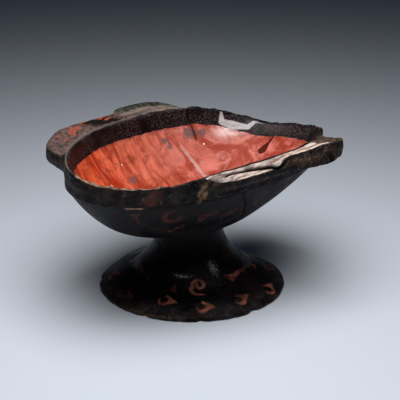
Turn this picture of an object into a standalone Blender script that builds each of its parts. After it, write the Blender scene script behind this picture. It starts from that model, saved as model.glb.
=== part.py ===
"""Lacquered stem cup: an oval wooden bowl with two side ears on a waisted, spreading foot.

+X runs along the bowl's length, +Z is up, and the origin is the centre of the foot's flat underside.
Angles are in degrees around the bowl or the foot, from +X towards +Y. Lengths are in millimetres
until a mesh is made, which is in metres.
"""

import bpy
import numpy as np

MM = 0.001

# Foot
FOOT_RADIUS = 56.4
FOOT_EDGE = 2.4
FOOT_HEIGHT = 41.2
FOOT_UNDERCUT = 0.8
SHOULDER_RADIUS = 36.0
SHOULDER_HEIGHT = 11.5
WAIST_RADIUS = 20.0
WAIST_HEIGHT = 36.5
SKIRT_CURVE = 0.85
STEM_TOP_RADIUS = 20.4
STEM_LEAN_X = -1.3
STEM_LEAN_Y = 1.0
FOOT_WORN_BACK = 6.0
FOOT_WORN_SIDE = 4.0
FOOT_CHIP = 1.3
FOOT_RAGGED = 0.2

# Bowl
JOINT_GAP = 0.3
BOWL_HEIGHT = 50.5
FRONT_LENGTH = 90.5
BACK_LENGTH = 84.0
HALF_WIDTH = 55.5
SKEW = 0.06
OFFSET_X = 3.9
OFFSET_Y = -4.0
SEAT_RADIUS = 20.8
BAND_HEIGHT = 15.5
BAND_STEP = 1.3
BAND_FACE_SHARE = 0.75
BODY_CURVE = 2.18
BODY_CURVE_CHANGE = 0.54
STRAIGHT_SIDE = 318.0
WALL = 5.0
LIP_WIDTH = 3.4
INNER_BAND = 10.5
INNER_BAND_LOSS = 4.5
BACK_SLOPE = 6.5
FLOOR_THICKNESS = 6.5
BASIN_CURVE = 2.2

# Wear of the rim
WORN_BACK_DROP = 13.0
WORN_BACK_SPREAD = 29.0
WORN_FRONT_DROP = 5.0
WORN_FRONT_SPREAD = 28.5
RIM_RAGGED = 0.3
BACK_RAGGED = 1.0

# Ears
EAR_THICKNESS = 10.5
EAR_LOBE_THICKER = 1.6
EAR_WEB = 15.0
EAR_LOBE = 6.5
BROAD_LOBE_SHARE = 0.8
NARROW_LOBE_END = 93.0
LOBE_RAMP = 9.0
EAR_LIFT = 0.05
EAR_RAMP = 20.0
WHOLE_EAR_START = 49.0
WHOLE_EAR_END = 157.0
BROKEN_EAR_START = 228.0
BROKEN_EAR_END = 319.0
STUMP_REACH = 16.4
STUMP_START = 262.0
STUMP_RAMP = 38.0
STUMP_END_RAMP = 13.0
STUMP_BEVEL = 0.55
STUMP_BEVEL_END = 307.0
STUMP_LIFT = 0.16
BREAK_END = 271.0
BREAK_REACH = 3.5
BREAK_DROP = 4.0

COLUMNS = 112
FOOT_COLUMNS = 80


def smooth(t):
    """Rise from 0 at t = 0 to 1 at t = 1 with level ends."""
    t = np.clip(t, 0.0, 1.0)
    return t * t * (3.0 - 2.0 * t)


def turn(angle, centre):
    """Signed difference of two angles, wrapped to -180..180 degrees."""
    return (angle - centre + 180.0) % 360.0 - 180.0


def bump(angle, centre, width):
    """Bell of height 1 around one angle."""
    return np.exp(-(turn(angle, centre) / width) ** 2)


def span(angle, start, end, ramp):
    """1 between two angles, falling smoothly to 0 over the ramp inside each end."""
    middle = 0.5 * (start + end)
    half = 0.5 * (end - start)
    return smooth((half - np.abs(turn(angle, middle))) / ramp)


def ragged(angle, seed):
    """Uneven wear between about -1 and 1, as a sum of waves."""
    total = 0.0
    for waves in (5, 9, 14, 23):
        total = total + np.sin(np.radians(waves * angle) + seed * waves) / np.sqrt(waves)
    return total


def rim_radius(angle):
    """Outer plan radius of the bowl: two half ellipses, slightly skewed by warping."""
    turned = np.radians(angle)
    length = np.where(np.cos(turned) < 0.0, FRONT_LENGTH, BACK_LENGTH)
    radius = 1.0 / np.sqrt((np.cos(turned) / length) ** 2 + (np.sin(turned) / HALF_WIDTH) ** 2)
    return radius * (1.0 - SKEW * np.sin(2.0 * turned))


def rim_drop(angle):
    """How far the rim is worn down below its full height."""
    back = WORN_BACK_DROP * bump(angle, 3.0, WORN_BACK_SPREAD)
    front = WORN_FRONT_DROP * bump(angle, 197.0, WORN_FRONT_SPREAD)
    uneven = RIM_RAGGED + BACK_RAGGED * bump(angle, 15.0, 30.0)
    return back + front + uneven * ragged(angle, 1.3)


def whole_ear(angle):
    """Reach of the whole ear: a web between a narrow lobe near the back and a broad one at the front."""
    web = EAR_WEB * span(angle, WHOLE_EAR_START, WHOLE_EAR_END, EAR_RAMP)
    narrow = span(angle, WHOLE_EAR_START, NARROW_LOBE_END, LOBE_RAMP)
    broad = BROAD_LOBE_SHARE * bump(angle, 123.0, 15.0) * span(angle, WHOLE_EAR_START, WHOLE_EAR_END, LOBE_RAMP)
    return web + EAR_LOBE * (narrow + broad)


def broken_ear(angle):
    """Reach of the broken ear: its back lobe widens away from the break, where a splintered stump is left."""
    widening = smooth((angle - STUMP_START) / STUMP_RAMP)
    lobe = STUMP_REACH * widening * span(angle, BROKEN_EAR_START, BROKEN_EAR_END, STUMP_END_RAMP)
    splinter = BREAK_REACH + 0.6 * ragged(angle, 2.1)
    return np.maximum(lobe, splinter * span(angle, BROKEN_EAR_START, BROKEN_EAR_END, STUMP_END_RAMP))


def ear_reach(angle):
    """How far the ears stand out from the band all round the bowl."""
    return np.where(angle < 180.0, whole_ear(angle), broken_ear(angle))


def ear_drop(angle):
    """How far the broken ear's top lies below the rim."""
    return BREAK_DROP * span(angle, BROKEN_EAR_START - 4.0, BREAK_END + 6.0, 8.0)


def ring(radius, angle, height, centre=(OFFSET_X, OFFSET_Y)):
    """Points of one ring around a centre, which is the bowl's own unless another is given."""
    turned = np.radians(angle)
    height = np.broadcast_to(height, angle.shape)
    return np.stack([centre[0] + radius * np.cos(turned), centre[1] + radius * np.sin(turned), height], axis=1)


def inside_rings(angle, radius, top):
    """Rings from the middle of the floor up the basin and the inner band to the lip."""
    floor = FOOT_HEIGHT + JOINT_GAP + FLOOR_THICKNESS
    worn = bump(angle, 0.0, 35.0)
    basin_radius = radius - WALL - BACK_SLOPE * worn
    basin_top = top - INNER_BAND + INNER_BAND_LOSS * worn
    rings = []
    for share in (0.2, 0.42, 0.62, 0.78, 0.9, 0.97, 1.0):
        rings.append(ring(basin_radius * share, angle, floor + (basin_top - floor) * share ** BASIN_CURVE))
    rings.append(ring(radius - LIP_WIDTH - 0.2, angle, top - 1.0))
    rings.append(ring(radius - LIP_WIDTH + 0.8, angle, top))
    rings.append(ring(radius - 0.8, angle, top))
    return rings


def ear_rings(angle, radius, top):
    """Rings out over the top of the ears, round their edge and back below to the band.

    Where there is no ear the same rings run down the band's face, closer together where the rim is worn low.
    """
    reach = ear_reach(angle)
    stump = span(angle, STUMP_START, BROKEN_EAR_END, STUMP_END_RAMP)
    lift = (EAR_LIFT + (STUMP_LIFT - EAR_LIFT) * stump) * reach
    bevel = STUMP_BEVEL * span(angle, STUMP_START, STUMP_BEVEL_END, STUMP_END_RAMP) * reach
    drop = ear_drop(angle)
    band = FOOT_HEIGHT + JOINT_GAP + BOWL_HEIGHT - BAND_HEIGHT
    thicker = EAR_LOBE_THICKER * (bump(angle, 142.0, 16.0) + bump(angle, 307.0, 14.0))
    thick = np.minimum(EAR_THICKNESS + thicker, BAND_FACE_SHARE * (top - band))
    rings = []
    rings.append(ring(radius + 0.5 * (reach - bevel), angle, top - 0.08 * thick + 0.5 * (lift - drop)))
    rings.append(ring(radius + reach - bevel - 0.1, angle, top - 0.14 * thick + lift - drop))
    rings.append(ring(radius + reach - 0.3 * bevel + 0.4, angle, top - 0.55 * thick + lift - 0.5 * drop))
    rings.append(ring(radius + reach - 0.2, angle, top - 0.92 * thick + 0.6 * lift))
    rings.append(ring(radius + 0.5 * reach, angle, top - thick + 0.3 * lift))
    rings.append(ring(radius, angle, top - 1.07 * thick))
    return rings


def outside_rings(angle, radius):
    """Rings from the band's lower edge over its step and down the body to the seat."""
    seat = FOOT_HEIGHT + JOINT_GAP
    band = seat + BOWL_HEIGHT - BAND_HEIGHT
    curve = BODY_CURVE - BODY_CURVE_CHANGE * np.cos(np.radians(angle - STRAIGHT_SIDE))
    upper = ring(radius - BAND_STEP, angle, band - 0.5)
    lower = ring(SEAT_RADIUS, angle, seat, (STEM_LEAN_X, STEM_LEAN_Y))
    rings = [ring(radius, angle, band + 0.3), upper]
    for share in (0.93, 0.84, 0.74, 0.62, 0.48, 0.33, 0.17, 0.0):
        points = lower + (upper - lower) * share
        points[:, 2] = seat + (band - 0.5 - seat) * share ** curve
        rings.append(points)
    return rings


def bowl_rings():
    """Rings from the middle of the floor up the inside, over the rim and ears and down to the seat."""
    angle = np.arange(COLUMNS) * 360.0 / COLUMNS
    radius = rim_radius(angle)
    top = FOOT_HEIGHT + JOINT_GAP + BOWL_HEIGHT - rim_drop(angle)
    return inside_rings(angle, radius, top) + ear_rings(angle, radius, top) + outside_rings(angle, radius)


def foot_radius(angle):
    """Plan radius of the foot's edge, worn back on the far side and chipped in three places."""
    worn = FOOT_WORN_BACK * bump(angle, 5.0, 42.0) + FOOT_WORN_SIDE * bump(angle, 105.0, 22.0)
    chips = bump(angle, 261.0, 3.5) + bump(angle, 227.0, 3.0) + bump(angle, 134.0, 4.0)
    return FOOT_RADIUS - worn - FOOT_CHIP * chips - FOOT_RAGGED * ragged(angle, 0.4)


def foot_profile():
    """Radius and height down the foot's outside: the stem's top, a round waist and a flared skirt."""
    points = [(STEM_TOP_RADIUS, FOOT_HEIGHT)]
    for t in np.linspace(1.0, 0.0, 9):
        radius = SHOULDER_RADIUS + (WAIST_RADIUS - SHOULDER_RADIUS) * (1.0 - (1.0 - t) ** 2.0)
        points.append((radius, SHOULDER_HEIGHT + (WAIST_HEIGHT - SHOULDER_HEIGHT) * t))
    for t in np.linspace(0.8, 0.0, 5):
        radius = FOOT_RADIUS + (SHOULDER_RADIUS - FOOT_RADIUS) * t
        points.append((radius, FOOT_EDGE + (SHOULDER_HEIGHT - FOOT_EDGE) * t ** SKIRT_CURVE))
    points.append((FOOT_RADIUS, 0.5))
    points.append((FOOT_RADIUS - FOOT_UNDERCUT, 0.0))
    return points


def foot_rings():
    """Rings from the stem's flat top down over the skirt and its edge to the flat underside."""
    angle = np.arange(FOOT_COLUMNS) * 360.0 / FOOT_COLUMNS
    edge = foot_radius(angle)
    rings = []
    for radius, height in foot_profile():
        share = smooth((radius - SHOULDER_RADIUS * 0.8) / (FOOT_RADIUS - SHOULDER_RADIUS * 0.8))
        lean = smooth((height - SHOULDER_HEIGHT) / (FOOT_HEIGHT - SHOULDER_HEIGHT))
        out = radius + (edge - FOOT_RADIUS) * share
        rings.append(ring(out, angle, height, (STEM_LEAN_X * lean, STEM_LEAN_Y * lean)))
    return rings


def closed_mesh(name, rings, first_pole, last_pole):
    """Join rings with quads and close each end with a fan to its pole."""
    columns = len(rings[0])
    points = np.concatenate(rings + [np.array([first_pole, last_pole])]) * MM
    faces = []
    for row in range(len(rings) - 1):
        for column in range(columns):
            beside = (column + 1) % columns
            low = row * columns
            high = low + columns
            faces.append((low + column, high + column, high + beside, low + beside))
    pole = len(points) - 2
    last = (len(rings) - 1) * columns
    for column in range(columns):
        beside = (column + 1) % columns
        faces.append((pole, column, beside))
        faces.append((pole + 1, last + beside, last + column))
    mesh = bpy.data.meshes.new(name)
    mesh.from_pydata(points.tolist(), [], faces)
    mesh.validate()
    mesh.update()
    return mesh


def lacquer(name, colour, roughness):
    """Plain lacquer."""
    material = bpy.data.materials.new(name)
    material.use_nodes = True
    shader = material.node_tree.nodes["Principled BSDF"]
    shader.inputs["Base Color"].default_value = (*colour, 1.0)
    shader.inputs["Roughness"].default_value = roughness
    shader.inputs["Metallic"].default_value = 0.0
    return material


def add_object(name, mesh, material):
    """Put a finished mesh in the scene, smooth except at its sharp edges."""
    piece = bpy.data.objects.new(name, mesh)
    bpy.context.scene.collection.objects.link(piece)
    mesh.materials.append(material)
    mesh.shade_smooth()
    mesh.set_sharp_from_angle(angle=np.radians(35.0))
    return piece


def make_bowl():
    """Bowl with its rim band and ears, one piece of wood."""
    seat = FOOT_HEIGHT + JOINT_GAP
    floor_middle = (OFFSET_X, OFFSET_Y, seat + FLOOR_THICKNESS)
    mesh = closed_mesh("cup_bowl", bowl_rings(), floor_middle, (STEM_LEAN_X, STEM_LEAN_Y, seat))
    return add_object("cup_bowl", mesh, lacquer("bowl_lacquer", (0.030, 0.016, 0.013), 0.42))


def make_foot():
    """Stem and foot, one piece of wood."""
    mesh = closed_mesh("stem_foot", foot_rings(), (STEM_LEAN_X, STEM_LEAN_Y, FOOT_HEIGHT), (0.0, 0.0, 0.0))
    return add_object("stem_foot", mesh, lacquer("foot_lacquer", (0.022, 0.012, 0.010), 0.45))


def main():
    """Clear the scene and build the cup."""
    for old in list(bpy.data.objects):
        bpy.data.objects.remove(old)
    make_foot()
    make_bowl()


main()
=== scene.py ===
"""Studio view of a lacquered wooden stem cup: an oval bowl with two ears on a waisted foot.

The bowl and the foot are fine grids that follow the measured solids. Worn edges, the splintered
break, cracks and carved relief are real relief in the grids. Painted strokes are signed distances
in millimetres kept on the vertices. Lengths are in millimetres until a mesh is made.
"""

import bpy
import numpy as np
from mathutils import Matrix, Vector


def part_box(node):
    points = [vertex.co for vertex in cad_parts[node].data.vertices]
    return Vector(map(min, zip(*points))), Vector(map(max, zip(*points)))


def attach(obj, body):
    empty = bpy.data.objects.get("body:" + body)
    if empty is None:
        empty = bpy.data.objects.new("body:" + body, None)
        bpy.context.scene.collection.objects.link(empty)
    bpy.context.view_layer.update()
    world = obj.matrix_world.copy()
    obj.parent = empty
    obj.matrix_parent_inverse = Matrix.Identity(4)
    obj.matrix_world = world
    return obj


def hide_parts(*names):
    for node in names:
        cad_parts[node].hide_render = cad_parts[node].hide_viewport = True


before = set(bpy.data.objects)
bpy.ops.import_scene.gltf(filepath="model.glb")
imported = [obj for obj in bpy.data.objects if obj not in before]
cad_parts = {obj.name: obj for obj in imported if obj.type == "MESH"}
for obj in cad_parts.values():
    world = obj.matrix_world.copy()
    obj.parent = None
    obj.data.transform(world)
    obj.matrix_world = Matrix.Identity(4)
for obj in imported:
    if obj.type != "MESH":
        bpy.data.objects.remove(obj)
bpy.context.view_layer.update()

MM = 0.001
# A signed distance that means "nowhere near", and the limit of those kept on the vertices.
FAR_OFF = -9.0
PAINT_LIMIT = 3.0
# How far a painted mark reaches along the surface at size 1, and off its own plane.
MARK_REACH = 21.0
MARK_DEPTH = 8.0
# How far the meshes keep inside the solids' box.
BOX_MARGIN = 0.05

# Foot
FOOT_RADIUS = 56.4
FOOT_EDGE = 2.4
FOOT_HEIGHT = 41.2
FOOT_UNDERCUT = 0.8
FOOT_RAGGED = 0.2
SHOULDER_RADIUS = 36.0
SHOULDER_HEIGHT = 11.5
WAIST_RADIUS = 20.0
WAIST_HEIGHT = 36.5
SKIRT_CURVE = 0.85
STEM_TOP_RADIUS = 20.4
STEM_LEAN = np.array([-1.3, 1.0])

# Bowl
SEAT = 41.5
BOWL_HEIGHT = 50.5
FRONT_LENGTH = 90.5
BACK_LENGTH = 84.0
HALF_WIDTH = 55.5
SKEW = 0.06
CENTRE = np.array([3.9, -4.0])
SEAT_RADIUS = 20.8
BODY_CURVE = 2.18
BODY_CURVE_CHANGE = 0.54
STRAIGHT_SIDE = 318.0
BAND = 76.5
BAND_STEP = 1.3
WALL = 5.0
LIP_WIDTH = 3.4
INNER_BAND = 10.5
INNER_BAND_LOSS = 4.5
BACK_SLOPE = 6.5
FLOOR = 48.0
BASIN_CURVE = 2.2

# Ears: the whole one near 100 degrees, the broken one with its stub near 270
WHOLE_EAR = (49.0, 157.0)
NARROW_LOBE = (49.0, 93.0)
BROAD_LOBE = (123.0, 15.0)
BROAD_LOBE_SHARE = 0.8
BARE_LOBE = (44.0, 96.0)
BROKEN_EAR = (228.0, 319.0)
STUB_START = 262.0
STUB_END = 319.0
STUB_GROWTH = 38.0
BEVEL_END = 307.0
BREAK_SPAN = (224.0, 277.0)
BREAK_DROP = 4.0
SPLINTER_REACH = 3.5
SPLINTER_RAGGED = 0.6
EAR_THICKNESS = 10.5
EAR_WEB = 15.0
EAR_LOBE = 6.5
EAR_LIFT = 0.05
STUMP_REACH = 16.4
STUMP_BEVEL = 0.55
STUMP_LIFT = 0.16
LOBE_RAMP = 9.0
STUMP_RAMP = 13.0
WEB_RAMP = 20.0

# Wear as bells: (depth, angle, width)
RIM_WEAR = ((13.0, 3.0, 29.0), (5.0, 197.0, 28.5))
RIM_RAGGED = 0.3
FAR_RAGGED = (15.0, 30.0)
FAR_WORN = (0.0, 35.0)
THICK_LOBES = ((1.6, 142.0, 16.0), (1.6, 307.0, 14.0))
FOOT_WEAR = ((6.0, 5.0, 42.0), (4.0, 105.0, 22.0))
FOOT_CHIPS = ((1.5, 261.0, 3.0), (1.5, 227.0, 2.2), (1.5, 134.0, 3.0), (1.5, 193.0, 1.6))

# Grids: columns, rows of each part, and the bowl's places q beyond its rim keys
BOWL_COLUMNS = 620
BASIN_ROWS = 52
RIM_ROWS = 68
BODY_ROWS = 35
FOOT_COLUMNS = 560
WAIST_ROWS = 8
STEM_ROWS = 48
SKIRT_ROWS = 52
UNDER_ROWS = 22
OUTSIDE = 10.9
BODY_PLACE = 12.0
UNDER_PLACE = 13.0


def smooth(t):
    """Rise from 0 at t = 0 to 1 at t = 1 with level ends: t^2 (3 - 2 t)."""
    t = np.clip(t, 0.0, 1.0)
    return t * t * (3.0 - 2.0 * t)


def turn(angle, centre):
    """Signed difference of two angles, wrapped to -180..180 degrees."""
    return (angle - centre + 180.0) % 360.0 - 180.0


def bump(angle, centre, width):
    """Bell exp(-(d / width)^2) around one angle."""
    return np.exp(-(turn(angle, centre) / width) ** 2)


def bells(angle, places):
    """Sum of depth times bump over places given as (depth, angle, width)."""
    return sum(depth * bump(angle, at, width) for depth, at, width in places)


def span(angle, start, end, ramp):
    """1 between two angles, falling smoothly to 0 over the ramp inside each end."""
    middle = 0.5 * (start + end)
    half = 0.5 * (end - start)
    return smooth((half - np.abs(turn(angle, middle))) / ramp)


def ragged(angle, seed):
    """Uneven wear: the sum of sin(n a + n seed) / sqrt(n) for n = 5, 9, 14, 23."""
    total = 0.0
    for waves in (5, 9, 14, 23):
        total = total + np.sin(np.radians(waves * angle) + seed * waves) / np.sqrt(waves)
    return total


def lattice(cell, seed):
    """A repeatable number from 0 to 1 for each whole-number cell (x, y, z)."""
    mixed = cell[..., 0] * 374761393 + cell[..., 1] * 668265263
    mixed = mixed + cell[..., 2] * 2147483647 + seed * 974711
    mixed = (mixed ^ (mixed >> 13)) * 1274126177
    mixed = mixed ^ (mixed >> 16)
    return (mixed & 0xFFFFFF) / float(0xFFFFFF)


def noise(points, size, seed=0):
    """Smooth noise from -1 to 1: lattice numbers blended with t^2 (3 - 2 t) over cells of one size."""
    place = points / np.asarray(size, float)
    cell = np.floor(place).astype(np.int64)
    part = place - cell
    part = part * part * (3.0 - 2.0 * part)
    total = 0.0
    for corner in np.ndindex(2, 2, 2):
        corner = np.array(corner)
        weight = np.prod(np.where(corner == 1, part, 1.0 - part), axis=-1)
        total = total + weight * lattice(cell + corner, seed)
    return total * 2.0 - 1.0


def rough(points, size, octaves=3, seed=0):
    """Layered noise: each octave has half the size and 0.55 of the strength of the one before."""
    total = 0.0
    strength = 1.0
    whole = 0.0
    size = np.asarray(size, float)
    for octave in range(octaves):
        total = total + strength * noise(points + 37.3 * octave, size, seed + octave)
        whole += strength
        strength *= 0.55
        size = size * 0.5
    return total / whole


def rim_radius(angle):
    """Outer plan radius of the bowl: two half ellipses, slightly skewed."""
    turned = np.radians(angle)
    length = np.where(np.cos(turned) < 0.0, FRONT_LENGTH, BACK_LENGTH)
    radius = 1.0 / np.sqrt((np.cos(turned) / length) ** 2 + (np.sin(turned) / HALF_WIDTH) ** 2)
    return radius * (1.0 - SKEW * np.sin(2.0 * turned))


def rim_drop(angle):
    """How far the rim is worn down below its full height."""
    return bells(angle, RIM_WEAR) + (RIM_RAGGED + bump(angle, *FAR_RAGGED)) * ragged(angle, 1.3)


def ear_reach(angle):
    """How far the ears stand out: a web with two lobes, and on the broken side splinters and a stub."""
    narrow = span(angle, *NARROW_LOBE, LOBE_RAMP)
    broad = BROAD_LOBE_SHARE * bump(angle, *BROAD_LOBE) * span(angle, *WHOLE_EAR, LOBE_RAMP)
    whole = EAR_WEB * span(angle, *WHOLE_EAR, WEB_RAMP) + EAR_LOBE * (narrow + broad)
    broken = span(angle, *BROKEN_EAR, STUMP_RAMP)
    lobe = STUMP_REACH * smooth((angle - STUB_START) / STUB_GROWTH) * broken
    splinter = (SPLINTER_REACH + SPLINTER_RAGGED * ragged(angle, 2.1)) * broken
    return np.where(angle < 180.0, whole, np.maximum(lobe, splinter))


def ear_drop(angle):
    """How far the broken ear's top lies below the rim."""
    return BREAK_DROP * span(angle, *BREAK_SPAN, 8.0)


def bearing(points, centre):
    """Angle of each point about a centre in plan, in degrees."""
    return np.degrees(np.arctan2(points[..., 1] - centre[1], points[..., 0] - centre[0]))


def ring(radius, angle, height, centre=CENTRE):
    """Points centre + radius (cos a, sin a) at a height."""
    turned = np.radians(angle)
    height = np.broadcast_to(height, angle.shape)
    across = centre[0] + radius * np.cos(turned)
    return np.stack([across, centre[1] + radius * np.sin(turned), height], axis=-1)


def respaced(profile, rows):
    """The same profile lines with evenly spaced rows, and each new row's place among the given ones.

    The profile is an array of key rings. Each column is walked by its own length, and the place q
    runs from 0 at the first key ring to n - 1 at the last.
    """
    keys, columns, _ = profile.shape
    dense = np.linspace(0.0, keys - 1.0, (keys - 1) * 6 + 1)
    step = np.minimum(dense.astype(int), keys - 2)
    part = (dense - step)[:, None, None]
    line = profile[step] * (1.0 - part) + profile[step + 1] * part
    length = np.linalg.norm(np.diff(line, axis=0), axis=-1)
    length = np.concatenate([np.zeros((1, columns)), np.cumsum(length, axis=0)])
    even = np.linspace(0.0, 1.0, rows)[:, None] * length[-1]
    line = np.concatenate([line, np.broadcast_to(dense[:, None, None], line.shape[:2] + (1,))], axis=-1)
    out = np.empty((rows, columns, 4))
    for column, axis in np.ndindex(columns, 4):
        out[:, column, axis] = np.interp(even[:, column], length[:, column], line[:, column, axis])
    return out[..., :3], out[..., 3]


def bowl_grid(angle):
    """Rows up the inside, over the rim and ears and down the outside, and each point's place q.

    Basin: z = floor + depth share^2.2, q below 0. Rim keys: 0 basin edge, 1 to 3 lip, 3 to 5 ear top,
    5 to 7 ear side, 7 to 9 ear underside, 9 to 10 band, 11 groove. Body, q above 11:
    z = seat + height share^curve along straight plan lines to the seat.
    """
    radius = rim_radius(angle)
    top = SEAT + BOWL_HEIGHT - rim_drop(angle)
    worn = bump(angle, *FAR_WORN)
    basin_radius = radius - WALL - BACK_SLOPE * worn
    basin_top = top - INNER_BAND + INNER_BAND_LOSS * worn
    basin = [ring(basin_radius * share, angle, FLOOR + (basin_top - FLOOR) * share ** BASIN_CURVE)
             for share in np.linspace(0.0, 1.0, BASIN_ROWS)[1:-1] ** 0.85]
    reach = ear_reach(angle)
    lift = (EAR_LIFT + (STUMP_LIFT - EAR_LIFT) * span(angle, STUB_START, STUB_END, STUMP_RAMP)) * reach
    bevel = STUMP_BEVEL * span(angle, STUB_START, BEVEL_END, STUMP_RAMP) * reach
    drop = ear_drop(angle)
    thick = np.minimum(EAR_THICKNESS + bells(angle, THICK_LOBES), 0.75 * (top - BAND))
    tip = radius + reach
    upper = ring(radius - BAND_STEP, angle, BAND - 0.5)
    keys = np.array([
        ring(basin_radius, angle, basin_top),
        ring(radius - LIP_WIDTH - 0.2, angle, top - 1.0),
        ring(radius - LIP_WIDTH + 0.8, angle, top),
        ring(radius - 0.8, angle, top),
        ring(radius + 0.5 * (reach - bevel), angle, top - 0.08 * thick + 0.5 * (lift - drop)),
        ring(tip - bevel - 0.1, angle, top - 0.14 * thick + lift - drop),
        ring(tip - 0.3 * bevel + 0.4, angle, top - 0.55 * thick + lift - 0.5 * drop),
        ring(tip - 0.2, angle, top - 0.92 * thick + 0.6 * lift),
        ring(radius + 0.5 * reach, angle, top - thick + 0.3 * lift),
        ring(radius, angle, top - 1.07 * thick),
        ring(radius, angle, BAND + 0.3),
        upper,
    ])
    rim, place = respaced(keys, RIM_ROWS)
    curve = BODY_CURVE - BODY_CURVE_CHANGE * np.cos(np.radians(angle - STRAIGHT_SIDE))
    lower = ring(SEAT_RADIUS, angle, SEAT, STEM_LEAN)
    body = []
    for share in np.linspace(1.0, 0.0, BODY_ROWS)[1:] ** 0.9:
        points = lower + (upper - lower) * share
        points[:, 2] = SEAT + (BAND - 0.5 - SEAT) * share ** curve
        body.append(points)
    under = [ring(SEAT_RADIUS * share, angle, SEAT, STEM_LEAN) for share in (0.85, 0.5, 0.2)]
    grid = np.concatenate([np.array(basin), rim, np.array(body), np.array(under)])
    q = np.full(grid.shape[:2], -1.0)
    q[len(basin):len(basin) + len(rim)] = place
    q[len(basin) + len(rim):] = BODY_PLACE
    q[-len(under):] = UNDER_PLACE
    return grid, q


def foot_radius(angle):
    """Plan radius of the foot's edge, worn back on the far side."""
    return FOOT_RADIUS - bells(angle, FOOT_WEAR) - FOOT_RAGGED * ragged(angle, 0.4)


def foot_grid(angle):
    """Rows from the stem's flat top down over the skirt and its edge to the flat underside, with zones.

    Stem: radius = shoulder + (waist - shoulder) (1 - (1 - t)^2), height linear in t. Skirt: height =
    edge + rise t^0.85, radius linear in t. Zones: 0 top, 1 stem, 2 skirt, 3 edge, 4 underside.
    """
    edge = foot_radius(angle)
    chips = bells(angle, FOOT_CHIPS)
    profile = [(0, STEM_TOP_RADIUS * share, FOOT_HEIGHT) for share in (0.2, 0.5, 0.85)]
    for share in np.linspace(0.0, 1.0, WAIST_ROWS, endpoint=False):
        radius = STEM_TOP_RADIUS + (WAIST_RADIUS - STEM_TOP_RADIUS) * share
        profile.append((1, radius, FOOT_HEIGHT + (WAIST_HEIGHT - FOOT_HEIGHT) * share))
    for t in np.linspace(1.0, 0.0, STEM_ROWS, endpoint=False):
        radius = SHOULDER_RADIUS + (WAIST_RADIUS - SHOULDER_RADIUS) * (1.0 - (1.0 - t) ** 2.0)
        profile.append((1, radius, SHOULDER_HEIGHT + (WAIST_HEIGHT - SHOULDER_HEIGHT) * t))
    for t in np.linspace(1.0, 0.0, SKIRT_ROWS):
        radius = FOOT_RADIUS + (SHOULDER_RADIUS - FOOT_RADIUS) * t
        profile.append((2, radius, FOOT_EDGE + (SHOULDER_HEIGHT - FOOT_EDGE) * t ** SKIRT_CURVE))
    profile += [(3, FOOT_RADIUS, height) for height in (1.9, 1.4, 0.9, 0.5)]
    profile += [(3, FOOT_RADIUS - 0.4, 0.2), (3, FOOT_RADIUS - FOOT_UNDERCUT, 0.0)]
    profile += [(4, FOOT_RADIUS * share, 0.0) for share in np.linspace(0.94, 0.05, UNDER_ROWS)]
    inner = SHOULDER_RADIUS * 0.8
    rows = []
    for _, radius, height in profile:
        share = smooth((radius - inner) / (FOOT_RADIUS - inner))
        lean = smooth((height - SHOULDER_HEIGHT) / (FOOT_HEIGHT - SHOULDER_HEIGHT))
        chipped = chips * smooth((radius - 51.0) / 5.0)
        rows.append(ring(radius + (edge - FOOT_RADIUS) * share - chipped, angle, height, STEM_LEAN * lean))
    return np.array(rows), np.array([zone for zone, _, _ in profile])


def soften(grid, first, last, passes):
    """Round the profile's corners: each row moves to a quarter, half, quarter mean of its neighbours."""
    grid = grid.copy()
    for _ in range(passes):
        middle = 0.25 * grid[first - 1:last - 1] + 0.5 * grid[first:last] + 0.25 * grid[first + 1:last + 1]
        grid[first:last] = middle
    return grid


def outward(grid):
    """Unit normals of a grid whose rows run in order and whose columns turn anticlockwise from above."""
    along = np.roll(grid, -1, axis=1) - np.roll(grid, 1, axis=1)
    down = np.gradient(grid, axis=0)
    across = np.cross(down, along)
    return across / np.maximum(np.linalg.norm(across, axis=-1, keepdims=True), 1e-9)


def line_distance(points, line):
    """Distance from each point to a polyline, and how far along the line (0 to 1) the nearest place is."""
    line = np.asarray(line, float)
    best = np.full(points.shape[:-1], 1e9)
    along = np.zeros(points.shape[:-1])
    pieces = len(line) - 1
    for step in range(pieces):
        start = line[step]
        way = line[step + 1] - start
        share = np.clip(((points - start) @ way) / max(way @ way, 1e-9), 0.0, 1.0)
        away = np.linalg.norm(points - start - share[..., None] * way, axis=-1)
        nearer = away < best
        best = np.where(nearer, away, best)
        along = np.where(nearer, (step + share) / pieces, along)
    return best, along


def stroke(flat, line, widths):
    """Signed distance into a brush stroke whose half width runs through the given values along its line."""
    away, along = line_distance(flat, line)
    return np.interp(along, np.linspace(0.0, 1.0, len(widths)), widths) - away


def curl(radius, start, end, shrink=0.0, steps=22, centre=(0.0, 0.0)):
    """Points of an arc or spiral whose radius shrinks by the given share along it."""
    t = np.linspace(0.0, 1.0, steps)
    turned = np.radians(start + (end - start) * t)
    reach = radius * (1.0 - shrink * t)
    return np.stack([centre[0] + reach * np.cos(turned), centre[1] + reach * np.sin(turned)], axis=-1)


def solid(flat, corners):
    """Signed distance into a convex shape whose corners run anticlockwise: the least depth of its edges."""
    corners = np.asarray(corners, float)
    depth = np.full(flat.shape[:-1], 1e9)
    for start, end in zip(corners, np.roll(corners, -1, axis=0)):
        way = (end - start) / np.linalg.norm(end - start)
        depth = np.minimum(depth, (flat - start) @ np.array([-way[1], way[0]]))
    return depth


def flag_curl(flat):
    """A triangular flag that points right, with a round hole and a hook curled under it."""
    flag = solid(flat, [(5.8, -0.2), (-2.0, 4.7), (-2.8, -3.9)])
    hole = 1.9 - np.linalg.norm(flat - np.array([-1.9, 0.4]), axis=-1)
    hook = stroke(flat, curl(2.8, 140.0, 330.0, 0.0, 18, (-2.2, -0.2)), (0.2, 0.8, 1.0, 0.8))
    return np.maximum(np.minimum(flag, -hole), hook)


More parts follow.
